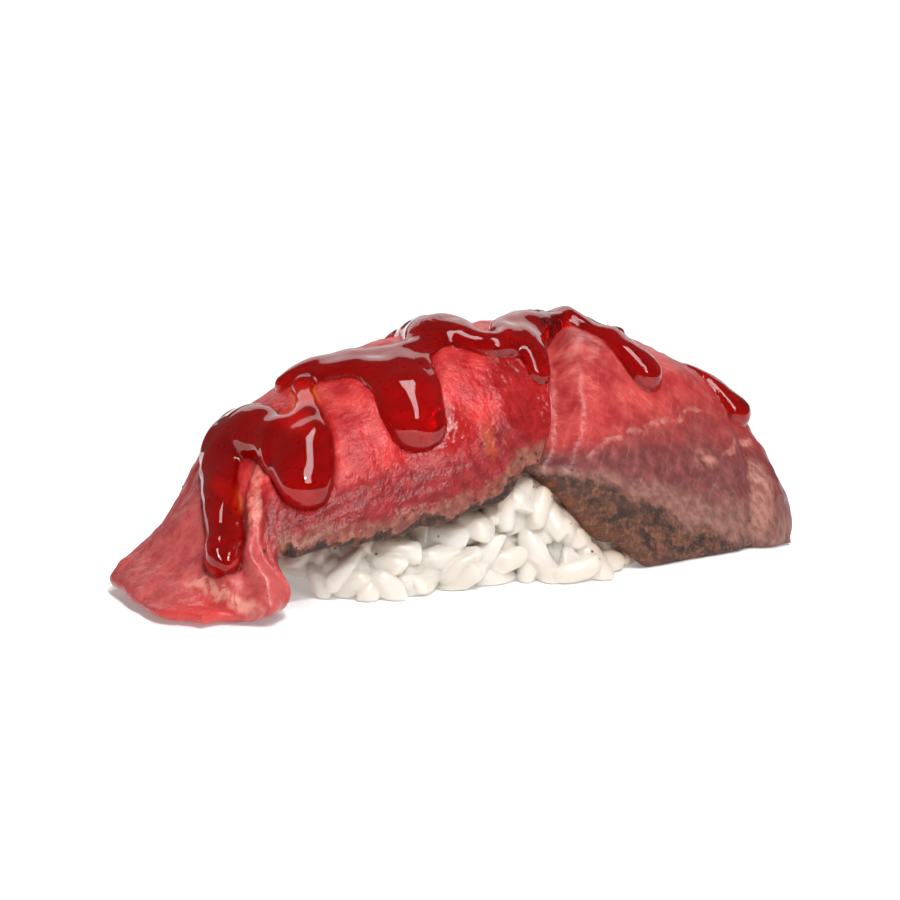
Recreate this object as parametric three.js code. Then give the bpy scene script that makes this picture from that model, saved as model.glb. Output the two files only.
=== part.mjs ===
// Beef teriyaki nigiri: a pressed bed of sushi rice with two thin slices of seared beef laid over it.
// Millimetres, +Z up, X along the piece, the long side with the bare rice towards -Y.
// The origin is the middle of the footprint, at the height of the plate.
import * as THREE from "three";

// ---------- driving dimensions ----------
const SLICE_THICKNESS = 2.4;
const TOUCH_GAP = 0.3; // air between two pieces that rest on each other
const RIM_THICKNESS = 1.3; // a slice thins towards its cut edge

// The drape: the level surface that the beef follows, as an arch over every station x.
const DRAPE = {
  peakX: 8, // where the ridge is highest
  peakZ: 26.4,
  left: { reach: 50.5, power: 2.5, fall: 1.4 }, // from the peak to the tip that lies on the plate
  right: { reach: 38.1, power: 3.2, fall: 0.46 },
  halfWidth: 17.6,
  endTuck: 0.12, // share by which both sides draw in towards the far slice's end
  backTuck: 0.53, // share by which the back draws in under the near slice's free end
  boxiness: 2.5, // 2 is an ellipse, more is squarer shoulders
  skirtShare: 0.6, // how much the arch opens into a bell at the near slice's tip
  skirtShift: -0.5, // the tip of the near slice lies this far to the front
  swells: [
    { x: -30, width: 7, height: -2.2 }, // the unsupported end hangs lower than the arch
    { x: 18, width: 7, height: 1 }, // the lap stands up a little
  ],
};
const OVERLAP = 12; // how far the near slice covers the far one, along X

// ---------- small functions ----------
const clamp01 = (v) => Math.min(1, Math.max(0, v));
const smooth = (from, to, v) => {
  const k = clamp01((v - from) / (to - from));
  return k * k * (3 - 2 * k);
};
const mix = (a, b, k) => a + (b - a) * k;
const bell = (v, width) => Math.exp(-(v * v) / (width * width));

// Smooth curve through [x, value] knots, flat beyond the first and last.
function through(knots) {
  return (x) => {
    if (x <= knots[0][0]) return knots[0][1];
    for (let i = 1; i < knots.length; i++) {
      const [x1, v1] = knots[i];
      const [x0, v0] = knots[i - 1];
      if (x <= x1) return mix(v0, v1, smooth(x0, x1, x));
    }
    return knots[knots.length - 1][1];
  };
}

// ---------- the drape ----------
function ridgeHeight(x) {
  const side = x < DRAPE.peakX ? DRAPE.left : DRAPE.right;
  const run = clamp01(Math.abs(x - DRAPE.peakX) / side.reach);
  const arch = DRAPE.peakZ * (1 - run ** side.power) ** side.fall;
  return DRAPE.swells.reduce((sum, { x: at, width, height }) => sum + height * bell(x - at, width), arch);
}
const halfWidth = (x, side) =>
  DRAPE.halfWidth *
  (1 - DRAPE.endTuck * smooth(18, 46, x) - (side > 0 ? DRAPE.backTuck * smooth(-19, -31, x) : 0));
const ridgeY = (x) => DRAPE.skirtShift * smooth(-18, -42, x);
const skirt = (x) => DRAPE.skirtShare * smooth(-23, -37, x);

// across runs from -1 (foot on the -Y side) over 0 (the ridge) to 1; at the plate |across| is 1.
// The section is a squared arch, which opens into a bell where the near slice falls to the plate.
function drapePoint(x, across) {
  const run = Math.abs(across);
  const angle = (1 - run) * (Math.PI / 2);
  const power = 2 / DRAPE.boxiness;
  const out = mix(Math.cos(angle) ** power, run, skirt(x));
  const rise = mix(Math.sin(angle) ** power, (1 + Math.cos(Math.PI * run)) / 2, skirt(x));
  const y = ridgeY(x) + Math.sign(across) * halfWidth(x, across) * out;
  return new THREE.Vector3(x, y, ridgeHeight(x) * rise);
}

function drapeNormal(x, across) {
  const a = THREE.MathUtils.clamp(across, -0.97, 0.97);
  const alongX = drapePoint(x + 0.4, a).sub(drapePoint(x - 0.4, a));
  const alongY = drapePoint(x, a + 0.02).sub(drapePoint(x, a - 0.02));
  return alongX.cross(alongY).normalize();
}

// How far down a side the drape comes to a height: 0 at the ridge, 1 at the plate.
function runAtHeight(x, height) {
  let [low, high] = [0, 1];
  for (let pass = 0; pass < 20; pass++) {
    const middle = (low + high) / 2;
    if (drapePoint(x, middle).z > height) low = middle;
    else high = middle;
  }
  return high;
}

// ---------- the slices ----------
// The near slice ends over the far one along this edge, a station x for how far across it is.
// On the front side it slants to the left and falls back near the foot.
function lapEdge(across) {
  const down = Math.max(-across, 0);
  const slant = 7.6 * Math.sin((down * Math.PI) / 2) ** (2 / DRAPE.boxiness);
  return 18.3 + 5 * Math.max(across, 0) - slant - 2.8 * smooth(0.58, 0.8, down);
}
const LAP = SLICE_THICKNESS + TOUCH_GAP;
const LAP_RISE = 0.15; // share of the doubled thickness that lifts the near slice, the rest presses in

// side runs from -1 at the front edge of a slice to 1 at its back edge.
// Both ends are stations x at a value of side; both feet are the height of the lower edge at a station.
const NEAR = {
  name: "beef_slice_near",
  focus: 0.27,
  footRun: 0.74, // how far down the drape its feet are at the lap
  rightEnd: (side) => lapEdge(side * NEAR.footRun),
  leftEnd: (side) => -39.5 + 12 * smooth(0.1, 1, side) + 4 * smooth(0.55, 1, -side),
  frontFoot: through([[-30.2, 0], [-27.4, 1], [-24.8, 8.2], [-4, 10], [3, 11.3], [8, 14.5]]),
  backFoot: through([[-34, 0], [-20, 6.5], [0, 8.5], [20, 9.5]]),
};
const FAR = {
  name: "beef_slice_far",
  focus: 1,
  rightEnd: (side) => 46.05 - 0.25 * smooth(0.6, 1, Math.abs(side)),
  footRun: 0.68,
  leftEnd: (side) => lapEdge(side * FAR.footRun) - OVERLAP,
  frontFoot: through([[0, 15.5], [6.6, 14], [17.8, 4], [24, 0]]),
  backFoot: through([[8, 10], [30, 3], [36, 0]]),
};
NEAR.lift = (x, across) => {
  const edge = lapEdge(across) - OVERLAP;
  return LAP_RISE * LAP * smooth(edge - 9, edge - 1, x);
};
// The near slice thins from above, by this share of half its thickness, towards the end that laps.
NEAR.taper = (x, across) => {
  const edge = lapEdge(across);
  return 0.65 * smooth(edge - 7, edge - 0.5, x);
};
FAR.taper = () => 0;
FAR.lift = (x, across) => {
  const edge = lapEdge(across);
  return (LAP_RISE - 1) * LAP * (1 - smooth(edge + 0.4, edge + 3.8, x));
};

// Folds in the meat: ridges and grooves that run down the front side at a station x, deeper the
// farther down. The near slice's free end hangs in broad ones; the far slice creases by its end.
NEAR.folds = {
  from: -0.25,
  to: -0.85,
  waves: [{ x: -29.5, width: 2.4, height: 1.5 }, { x: -33, width: 2.2, height: -1 }],
};
FAR.folds = {
  from: -0.35,
  to: -0.6,
  waves: [{ x: 39.3, width: 1.4, height: -0.6 }, { x: 42, width: 1.8, height: 0.7 }],
};
function foldHeight({ from, to, waves }, x, across) {
  const down = smooth(from, to, across);
  return waves.reduce((sum, wave) => sum + wave.height * down * bell(x - wave.x, wave.width), 0);
}

// Middle surface of a slice: u from its left end to its right, v from its front foot to its back.
function slicePoint(slice, u, v) {
  const side = 2 * v - 1;
  const x = mix(slice.leftEnd(side), slice.rightEnd(side), u);
  const front = -runAtHeight(x, slice.frontFoot(x));
  const back = runAtHeight(x, slice.backFoot(x));
  const across = mix(front, back, v);
  const normal = drapeNormal(x, across);
  const out = slice.lift(x, across) + foldHeight(slice.folds, x, across);
  const point = drapePoint(x, across).addScaledVector(normal, out);
  point.z = Math.max(point.z, (SLICE_THICKNESS / 2) * normal.z);
  return { x, across, point, normal };
}

// Even spacing from 0 to 1, closer round a focus, with one extra line close to each end for the rim.
function lines(count, margin, focus) {
  const density = (k) => 1 + (focus === undefined ? 0 : 2 * bell(k - focus, 0.07));
  const sums = [0];
  const steps = 400;
  for (let i = 0; i < steps; i++) sums.push(sums[i] + density((i + 0.5) / steps));
  const inner = Array.from({ length: count + 1 }, (_, i) => {
    const k = sums.findIndex((sum) => sum >= (sums[steps] * i) / count) / steps;
    return mix(margin, 1 - margin, k);
  });
  return [0, ...inner, 1];
}

function bodyGeometry(positions, triangles) {
  const geometry = new THREE.BufferGeometry();
  geometry.setAttribute("position", new THREE.Float32BufferAttribute(positions, 3));
  geometry.setIndex(triangles);
  geometry.computeVertexNormals();
  return geometry;
}
const halves = ([a, b, c, d]) => [a, b, c, a, c, d]; // a four-sided face as two triangles

// A slice is closed from two skins, one over and one under its middle surface, and the rim between.
function sliceGeometry(slice, alongCount, acrossCount) {
  const us = lines(alongCount, 0.02, slice.focus);
  const vs = lines(acrossCount, 0.025);
  const [rows, columns] = [us.length, vs.length];
  const positions = [];
  for (const face of [1, -1])
    for (const [i, u] of us.entries())
      for (const [j, v] of vs.entries()) {
        const { x, across, point, normal } = slicePoint(slice, u, v);
        const rim = i === 0 || j === 0 || i === rows - 1 || j === columns - 1;
        const full = (rim ? RIM_THICKNESS : SLICE_THICKNESS) / 2;
        const half = face === 1 ? full * (1 - slice.taper(x, across)) : full;
        point.addScaledVector(normal, face * half);
        positions.push(point.x, point.y, Math.max(point.z, 0));
      }
  const at = (face, i, j) => face * rows * columns + i * columns + j;
  const quads = [];
  for (let i = 0; i < rows - 1; i++)
    for (let j = 0; j < columns - 1; j++) {
      quads.push([at(0, i, j), at(0, i + 1, j), at(0, i + 1, j + 1), at(0, i, j + 1)]);
      quads.push([at(1, i, j), at(1, i, j + 1), at(1, i + 1, j + 1), at(1, i + 1, j)]);
    }
  const [top, end] = [rows - 1, columns - 1];
  for (let i = 0; i < top; i++) {
    quads.push([at(0, i, 0), at(1, i, 0), at(1, i + 1, 0), at(0, i + 1, 0)]);
    quads.push([at(0, i, end), at(0, i + 1, end), at(1, i + 1, end), at(1, i, end)]);
  }
  for (let j = 0; j < end; j++) {
    quads.push([at(0, 0, j), at(0, 0, j + 1), at(1, 0, j + 1), at(1, 0, j)]);
    quads.push([at(0, top, j), at(1, top, j), at(1, top, j + 1), at(0, top, j + 1)]);
  }
  return bodyGeometry(positions, quads.flatMap(halves));
}

// ---------- the rice bed ----------
const RICE = {
  middleX: 10.4,
  halfLength: 31.9,
  endPower: 2.4, // how blunt its rounded ends are
  endHeight: 9, // the ends round in to this height
  lift: 1.2, // what the rounding must rise before the bed leaves the plate
  bulge: 2, // bare rice stands out by this much below the beef
  spread: 0.1, // share of its width by which bare rice spreads at its foot
  undercut: 0.08, // and by which the foot draws in under the beef
  footHeight: 5,
  grain: { count: 420, length: 7, width: 3.2, depth: 1.1, perAcross: 29 },
};

// Repeatable pseudo-random numbers from 0 to 1.
function randomFrom(seed) {
  let state = seed;
  return () => {
    state = (state * 1664525 + 1013904223) % 4294967296;
    return state / 4294967296;
  };
}

const grains = [];
const random = randomFrom(7);
for (let i = 0; i < RICE.grain.count; i++)
  grains.push({
    x: RICE.middleX + (2 * random() - 1) * RICE.halfLength,
    across: 2.2 * random() - 1.1,
    turn: Math.PI * random(),
  });

// 0 between grains, 1 on the crown of one.
function grainRelief(x, across) {
  let top = 0;
  for (const grain of grains) {
    const dx = x - grain.x;
    const dy = (across - grain.across) * RICE.grain.perAcross;
    const along = dx * Math.cos(grain.turn) + dy * Math.sin(grain.turn);
    const beside = dy * Math.cos(grain.turn) - dx * Math.sin(grain.turn);
    const reach = (2 * along / RICE.grain.length) ** 2 + (2 * beside / RICE.grain.width) ** 2;
    top = Math.max(top, 1 - reach);
  }
  return top;
}

function ricePoint(x, across) {
  const underFar = smooth(-5, -1, x - (lapEdge(across) - OVERLAP));
  const foot = across < 0
    ? Math.min(NEAR.frontFoot(x), FAR.frontFoot(x))
    : Math.min(NEAR.backFoot(x), FAR.backFoot(x));
  const onDrape = drapePoint(x, across);
  const bare = smooth(0.5, 3, foot - onDrape.z);
  const inset = SLICE_THICKNESS / 2 + TOUCH_GAP;
  const valley = RICE.grain.depth * (1 - grainRelief(x, across));
  const out = FAR.lift(x, across) * underFar - inset + bare * RICE.bulge - valley;
  const point = onDrape.addScaledVector(drapeNormal(x, across), out);
  const low = 1 - clamp01(point.z / RICE.footHeight);
  const run = Math.abs((x - RICE.middleX) / RICE.halfLength);
  const end = (1 - Math.min(run, 1) ** RICE.endPower) ** (1 / RICE.endPower);
  point.y *= end * (1 + (RICE.spread * bare - RICE.undercut * (1 - bare)) * low);
  const settle = RICE.lift * (1 - clamp01(point.z / RICE.endHeight));
  point.z = Math.max(0, RICE.endHeight + (point.z - RICE.endHeight) * end - settle);
  return point;
}

// Closed rings round the bed, one per station x: over the top in columns, back below in soleColumns.
function riceGeometry(rows, columns, soleColumns) {
  const positions = [];
  const total = columns + soleColumns;
  const [leftTip, rightTip] = [0, 1];
  for (const end of [-1, 1]) {
    const tip = ricePoint(RICE.middleX + end * RICE.halfLength, 0);
    positions.push(tip.x, tip.y, tip.z);
  }
  for (let i = 0; i < rows; i++) {
    const x = RICE.middleX - RICE.halfLength * Math.cos((Math.PI * (i + 1)) / (rows + 1));
    const front = ricePoint(x, -1);
    const back = ricePoint(x, 1);
    for (let j = 0; j < total; j++) {
      const point = j <= columns
        ? ricePoint(x, (2 * j) / columns - 1)
        : back.clone().lerp(front, (j - columns) / soleColumns);
      positions.push(point.x, point.y, point.z);
    }
  }
  const at = (i, j) => 2 + i * total + (j % total); // after the two tips
  const quads = [];
  for (let i = 0; i < rows - 1; i++)
    for (let j = 0; j < total; j++) {
      quads.push([at(i, j), at(i + 1, j), at(i + 1, j + 1), at(i, j + 1)]);
    }
  const triangles = quads.flatMap(halves);
  for (let j = 0; j < total; j++) {
    triangles.push(leftTip, at(0, j), at(0, j + 1));
    triangles.push(rightTip, at(rows - 1, j + 1), at(rows - 1, j));
  }
  return bodyGeometry(positions, triangles);
}

// ---------- the group ----------
const nigiri = new THREE.Group();
const pieces = [
  { name: NEAR.name, geometry: sliceGeometry(NEAR, 34, 23), color: 0xb5484a, roughness: 0.35 },
  { name: FAR.name, geometry: sliceGeometry(FAR, 25, 23), color: 0xa4615a, roughness: 0.4 },
  { name: "rice_bed", geometry: riceGeometry(44, 32, 4), color: 0xe9e6dc, roughness: 0.5 },
];
for (const { name, geometry, color, roughness } of pieces) {
  const material = new THREE.MeshStandardMaterial({ color, roughness, metalness: 0 });
  const mesh = new THREE.Mesh(geometry, material);
  mesh.name = name;
  nigiri.add(mesh);
}
const box = new THREE.Box3().setFromObject(nigiri);
const centre = box.getCenter(new THREE.Vector3());
for (const mesh of nigiri.children) mesh.geometry.translate(-centre.x, -centre.y, -box.min.z);

export default nigiri;
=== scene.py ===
import math

import bpy
import numpy as np
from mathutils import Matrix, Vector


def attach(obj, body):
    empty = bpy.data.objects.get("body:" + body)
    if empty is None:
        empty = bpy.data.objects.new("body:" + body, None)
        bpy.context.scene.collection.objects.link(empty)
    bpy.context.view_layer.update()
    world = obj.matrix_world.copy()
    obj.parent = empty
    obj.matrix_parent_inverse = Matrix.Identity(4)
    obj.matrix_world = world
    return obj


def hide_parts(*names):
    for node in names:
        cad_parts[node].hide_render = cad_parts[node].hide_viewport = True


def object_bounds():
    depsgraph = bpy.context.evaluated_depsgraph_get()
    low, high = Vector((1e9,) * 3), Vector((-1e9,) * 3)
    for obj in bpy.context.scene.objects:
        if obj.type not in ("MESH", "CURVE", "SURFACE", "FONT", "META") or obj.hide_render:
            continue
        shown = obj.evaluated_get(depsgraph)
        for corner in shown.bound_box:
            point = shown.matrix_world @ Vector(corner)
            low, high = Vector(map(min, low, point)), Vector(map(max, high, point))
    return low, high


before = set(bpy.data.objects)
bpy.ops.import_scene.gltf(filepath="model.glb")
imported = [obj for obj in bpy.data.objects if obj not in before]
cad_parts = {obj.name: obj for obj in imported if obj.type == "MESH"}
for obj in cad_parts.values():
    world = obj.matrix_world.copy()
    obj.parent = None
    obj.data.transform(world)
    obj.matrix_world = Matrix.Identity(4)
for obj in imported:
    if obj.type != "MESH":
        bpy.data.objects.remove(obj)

cad_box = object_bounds()

# ------------------------------------------------------------
# Rice bed, the core.
# A loaf of cooked short-grain rice, pressed by hand and sticky enough to hold together. It carries
# the beef, and stands on the plate. This core is the loaf's inside; the grains are laid round it.
# ------------------------------------------------------------
MM = 0.001
MIDDLE = np.array([3.424, -0.086, 0.0])  # from the formulas' own origin to the part's, in mm
SLICE_THICKNESS = 2.4
TOUCH_GAP = 0.3
LAP = SLICE_THICKNESS + TOUCH_GAP
LAP_RISE = 0.15
OVERLAP = 12.0
ARCH_POWER = 0.8
PEAK, PEAK_HEIGHT = 8, 26.4  # about where the ridge is highest, and how high
LEFT_REACH, RIGHT_REACH = 50.5, 38.1  # from there to where the arch comes to nothing
HALF_DEPTH = 17.6
SIDE_LENGTH = 27  # about how far it is over the arch from the ridge to a foot


def smooth(start, end, value):
    k = np.clip((value - start) / (end - start), 0, 1)
    return k * k * (3 - 2 * k)


def bell(value, width):
    return np.exp(-((value / width) ** 2))


def through(knots):
    """A smooth curve through [x, value] knots, flat beyond the first and the last."""
    def curve(x):
        value = np.full(np.shape(x), float(knots[0][1]))
        for (x0, v0), (x1, v1) in zip(knots, knots[1:]):
            value = value + (v1 - v0) * smooth(x0, x1, x)
        return value
    return curve


def ripple(x, y, size, seed):
    """Soft uneven waves of about the given size, between -1 and 1."""
    dice = np.random.RandomState(seed)
    total = 0
    for _ in range(7):
        turn, phase = dice.uniform(0, 2 * np.pi, 2)
        pace = 2 * np.pi / size * dice.uniform(0.6, 1.4)
        total = total + np.sin(pace * (x * np.cos(turn) + y * np.sin(turn)) + phase)
    return total / 4.2


# The drape: an arch over every station x, which the beef follows. across is -1 at the front foot,
# 0 on the ridge and 1 at the back foot.
def ridge_height(x):
    left = (1 - np.clip((PEAK - x) / LEFT_REACH, 0, 1) ** 2.5) ** 1.4
    right = (1 - np.clip((x - PEAK) / RIGHT_REACH, 0, 1) ** 3.2) ** 0.46
    return PEAK_HEIGHT * np.where(x < PEAK, left, right) - 2.2 * bell(x + 30, 7) + bell(x - 18, 7)


def half_width(x, across):
    tuck = np.where(across > 0, 0.53 * smooth(-19, -31, x), 0)
    return HALF_DEPTH * (1 - 0.12 * smooth(18, 46, x) - tuck)


def drape(x, across):
    x, across = np.broadcast_arrays(np.asarray(x, float), np.asarray(across, float))
    run = np.abs(across)
    skirt = 0.6 * smooth(-23, -37, x)
    out = np.sin(run * np.pi / 2) ** ARCH_POWER
    rise = np.clip(np.cos(run * np.pi / 2), 0, 1) ** ARCH_POWER
    out = out + (run - out) * skirt
    rise = rise + ((1 + np.cos(np.pi * run)) / 2 - rise) * skirt
    y = -0.5 * smooth(-18, -42, x) + np.sign(across) * half_width(x, across) * out
    return np.stack([x, y, ridge_height(x) * rise], -1)


def drape_normal(x, across):
    a = np.clip(across, -0.97, 0.97)
    along = drape(x + 0.4, a) - drape(x - 0.4, a)
    over = drape(x, a + 0.02) - drape(x, a - 0.02)
    normal = np.cross(along, over)
    return normal / np.linalg.norm(normal, axis=-1, keepdims=True)


def lap_edge(across):
    down = np.maximum(-across, 0)
    slant = 7.6 * np.sin(down * np.pi / 2) ** ARCH_POWER
    return 18.3 + 5 * np.maximum(across, 0) - slant - 2.8 * smooth(0.58, 0.8, down)


near_front = through([[-30.2, 0], [-27.4, 1.0], [-24.8, 7.0], [-13, 7.6], [-4, 9.0], [3, 10.4], [8, 14.3]])
near_back = through([[-34, 0], [-20, 6.5], [0, 8.5], [20, 9.5]])
far_front = through([[0, 15.5], [6.6, 14], [17.8, 4], [24, 0]])
far_back = through([[8, 10], [30, 3], [36, 0]])


def near_lift(x, across):
    edge = lap_edge(across) - OVERLAP
    return LAP_RISE * LAP * smooth(edge - 9, edge - 1, x)


def far_lift(x, across):
    edge = lap_edge(across)
    return (LAP_RISE - 1) * LAP * (1 - smooth(edge + 0.4, edge + 3.8, x))


def rice_foot(x, across):
    """The height at which the beef ends and the rice shows."""
    front = np.minimum(near_front(x), far_front(x))
    back = np.minimum(near_back(x), far_back(x))
    return np.where(across < 0, front, back)


RICE_MIDDLE, RICE_HALF = 10.4, 31.9
END_POWER = 2.4  # how full the loaf's rounded ends are
FOOT_HEIGHT = 5  # height below which the loaf spreads or draws in
SETTLE, SETTLE_HEIGHT = 1.2, 9  # the loaf's foot has sunk by this much, and from this height up nothing has
RICE_SPREAD = 0.1  # share of its width by which bare rice spreads at its foot
RICE_UNDERCUT = 0.08  # and by which the foot draws in under the beef


def rice_point(x, across, sunk):
    """A point of the loaf's skin, sunk below it by some millimetres."""
    on_drape = drape(x, across)
    bare = smooth(0.5, 3, rice_foot(x, across) - on_drape[..., 2])
    under_far = smooth(-5, -1, x - (lap_edge(across) - OVERLAP))
    out = far_lift(x, across) * under_far - SLICE_THICKNESS / 2 - TOUCH_GAP + 2 * bare - sunk
    point = on_drape + drape_normal(x, across) * out[..., None]
    low = 1 - np.clip(point[..., 2] / FOOT_HEIGHT, 0, 1)
    run = np.clip(np.abs((x - RICE_MIDDLE) / RICE_HALF), 0, 1)
    end = (1 - run ** END_POWER) ** (1 / END_POWER)
    point[..., 1] *= end * (1 + (RICE_SPREAD * bare - RICE_UNDERCUT * (1 - bare)) * low)
    settle = SETTLE * (1 - np.clip(point[..., 2] / SETTLE_HEIGHT, 0, 1))
    point[..., 2] = np.maximum(0, SETTLE_HEIGHT + (point[..., 2] - SETTLE_HEIGHT) * end - settle)
    return point


def vertex_points(thing):
    points = np.empty(len(thing.data.vertices) * 3)
    thing.data.vertices.foreach_get("co", points)
    return points.reshape(-1, 3)


def place_vertices(thing, points_mm):
    """Moves a mesh's vertices to places given in mm in the formulas' frame."""
    points = (np.asarray(points_mm) - MIDDLE) * MM
    thing.data.vertices.foreach_set("co", points.ravel())
    thing.data.update()


def only(*things):
    bpy.ops.object.select_all(action="DESELECT")
    for thing in things:
        thing.select_set(True)
    bpy.context.view_layer.objects.active = things[0]


def name_piece(thing, name):
    thing.name = name
    thing.data.name = name


CORE_SUNK = 1.2
bpy.ops.object.select_all(action="DESELECT")
bpy.ops.mesh.primitive_uv_sphere_add(segments=110, ring_count=100, radius=1)
rice_core = bpy.context.active_object
name_piece(rice_core, "rice_core")
ball = vertex_points(rice_core)
station = RICE_MIDDLE - (RICE_HALF - 1.5) * ball[:, 2]
ring = (np.arctan2(ball[:, 1], ball[:, 0]) / (2 * np.pi) + 0.5) / 0.8  # over 1 is the sole
over = np.clip(2 * ring - 1, -1, 1)
uneven = 0.35 * ripple(station, over * 28, 4.5, 11)
core_points = rice_point(station, over, CORE_SUNK + uneven)
core_front = rice_point(station, np.full_like(over, -1.0), CORE_SUNK)
core_back = rice_point(station, np.full_like(over, 1.0), CORE_SUNK)
sole = np.clip((ring - 1) / 0.25, 0, 1)[:, None]
core_points = np.where(ring[:, None] > 1, core_back + (core_front - core_back) * sole, core_points)
core_points[:, 2] += 0.15
place_vertices(rice_core, core_points)
only(rice_core)
bpy.ops.object.mode_set(mode="EDIT")
bpy.ops.mesh.select_all(action="SELECT")
bpy.ops.mesh.normals_make_consistent(inside=False)
bpy.ops.object.mode_set(mode="OBJECT")
bpy.ops.object.shade_smooth()


class Wire:
    """A value in a material. Arithmetic on it adds the nodes."""

    def __init__(self, look, socket):
        self.look, self.socket = look, socket

    def maths(self, operation, first, second):
        return self.look.node("ShaderNodeMath", {"operation": operation}, {0: first, 1: second})

    def __add__(self, other):
        return self.maths("ADD", self, other)

    def __sub__(self, other):
        return self.maths("SUBTRACT", self, other)

    def __rsub__(self, other):
        return self.maths("SUBTRACT", other, self)

    def __mul__(self, other):
        return self.maths("MULTIPLY", self, other)

    def __truediv__(self, other):
        return self.maths("DIVIDE", self, other)

    __radd__, __rmul__ = __add__, __mul__

    def step(self, start, end):
        """0 at start and 1 at end, smooth between; start may be the larger."""
        limits = {"Value": self, "From Min": start, "From Max": end}
        return self.look.node("ShaderNodeMapRange", {"interpolation_type": "SMOOTHSTEP"}, limits)


def tone(red, green, blue):
    """A colour given by its screen values from 0 to 255."""
    shares = [v / 255 for v in (red, green, blue)]
    return [v / 12.92 if v < 0.04 else ((v + 0.055) / 1.055) ** 2.4 for v in shares] + [1.0]


class Look:
    """One material: its shader's constants, and the nodes that vary over the surface."""

    def __init__(self, name, **constants):
        self.material = bpy.data.materials.new(name)
        self.material.use_nodes = True
        self.tree = self.material.node_tree
        self.shader = self.tree.nodes["Principled BSDF"]
        for socket, value in constants.items():
            self.shader.inputs[socket.replace("_", " ")].default_value = value

    def node(self, kind, settings, inputs, output=0):
        node = self.tree.nodes.new(kind)
        for name, value in settings.items():
            setattr(node, name, value)
        for key, value in inputs.items():
            if isinstance(value, Wire):
                self.tree.links.new(value.socket, node.inputs[key])
            else:
                node.inputs[key].default_value = value
        return Wire(self, node.outputs[output])

    def feed(self, socket, wire):
        self.tree.links.new(wire.socket, self.shader.inputs[socket])

    def mix(self, share, low, high):
        return self.node("ShaderNodeMix", {"data_type": "RGBA"}, {0: share, 6: low, 7: high}, 2)

    def number(self, name):
        return self.node("ShaderNodeAttribute", {"attribute_name": name}, {}, 2)

    def vector(self, name):
        return self.node("ShaderNodeAttribute", {"attribute_name": name}, {}, 1)

    def place(self):
        """Object coordinates, in millimetres."""
        return self.stretch(self.node("ShaderNodeTexCoord", {}, {}, 3), (1000, 1000, 1000))

    def stretch(self, at, scale):
        return self.node("ShaderNodeVectorMath", {"operation": "MULTIPLY"}, {0: at, 1: scale})

    def turn(self, at, degrees):
        about_z = (0, 0, math.radians(degrees))
        return self.node("ShaderNodeMapping", {}, {"Vector": at, "Rotation": about_z})

    def noise(self, at, size, detail=3.0, rough=0.55, warp=0.0):
        values = {"Vector": at, "Scale": 1 / size, "Detail": detail, "Roughness": rough, "Distortion": warp}
        return self.node("ShaderNodeTexNoise", {}, values)

    def cells(self, at, size):
        return self.node("ShaderNodeTexVoronoi", {"feature": "F1"}, {"Vector": at, "Scale": 1 / size})

    def bump(self, height, strength, depth_mm):
        values = {"Height": height, "Strength": strength, "Distance": depth_mm * MM}
        return self.node("ShaderNodeBump", {}, values)


# Cooked rice: warm white, slightly see-through, with a moist skin. Close to the beef it is darker and
# browner, partly from juice it has taken up and partly painted shade under the beef; a few specks of char and
# pepper have fallen on it.
rice_look = Look(
    "cooked_rice", Roughness=0.34, Subsurface_Weight=0.75, Subsurface_Radius=(1.0, 0.85, 0.7),
    Subsurface_Scale=0.0024, Coat_Weight=0.2, Coat_Roughness=0.2, IOR=1.4,
)
spot = rice_look.place()
juice = rice_look.number("juice")
rice_colour = rice_look.mix(rice_look.number("tone"), tone(223, 216, 207), tone(212, 204, 193))
# painted shade and juice stain: the rice turns darker and browner towards the beef's foot
rice_colour = rice_look.mix(juice * 0.55, rice_colour, tone(196, 160, 130))
speck = rice_look.cells(spot, 1.1).step(0.2, 0.1) * rice_look.noise(spot, 3.1).step(0.45, 0.55)
speck = speck * (juice + 0.03).step(0.0, 0.4)
rusty = rice_look.noise(spot, 2.0).step(0.45, 0.55)
speck_colour = rice_look.mix(rusty, tone(96, 60, 40), tone(206, 110, 50))
rice_colour = rice_look.mix(speck, rice_colour, speck_colour)
rice_look.feed("Base Color", rice_colour)
rice_bumps = rice_look.noise(spot, 1.1, detail=2) + rice_look.noise(spot, 0.35, detail=2) * 0.3
rice_look.feed("Normal", rice_look.bump(rice_bumps, 0.3, 0.2))


def mark(thing, name, values):
    """Stores one number for each vertex, for a material to read."""
    attribute = thing.data.attributes.new(name, "FLOAT", "POINT")
    attribute.data.foreach_set("value", np.asarray(values, dtype=np.float32))


mark(rice_core, "tone", np.full(len(core_points), 0.9))
# how strong the painted shade and juice stain are on the core, rising towards the beef's foot
mark(rice_core, "juice", 0.4 * smooth(4, 0, rice_foot(station, over) - core_points[:, 2]))
rice_core.data.materials.append(rice_look.material)
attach(rice_core, "root")
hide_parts("rice_bed")

# ------------------------------------------------------------
# Rice bed, the grains.
# Cooked grains, about 7 mm long and 3 mm wide, some of them broken, that lie every way where the
# rice is bare. Each is set as deep on the loaf as the others let it, and those that touch are stuck.
# ------------------------------------------------------------
GRAIN_LENGTH, GRAIN_WIDTH, GRAIN_DEPTH = 6.8, 3.0, 2.6
WHOLE_TRIES, BROKEN_TRIES = 2600, 5200
BEADS = np.array([-0.35, -0.12, 0.12, 0.35]) * GRAIN_LENGTH  # balls that stand for a grain's body
BEAD_RADIUS = 1.2
PRESS = 1.1  # how far two grains give way to each other, in mm
STICKY = 0.14  # grains closer than this, in mm, have stuck together
FLECK = 60  # loose bits with fewer vertices than this, left between the grains, are taken out
CHIPS = 6  # flats that pressing has left on each grain
LEAN = 60.0  # degrees by which most grains lean at the right, where the hand drew them out
bpy.ops.object.select_all(action="DESELECT")
bpy.ops.mesh.primitive_uv_sphere_add(segments=24, ring_count=18, radius=1)
grain = bpy.context.active_object
grain_shape = vertex_points(grain)[:, [2, 0, 1]]  # poles along x
slim = np.sqrt(np.clip(1 - grain_shape[:, 0] ** 2, 1e-4, 1))
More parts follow.
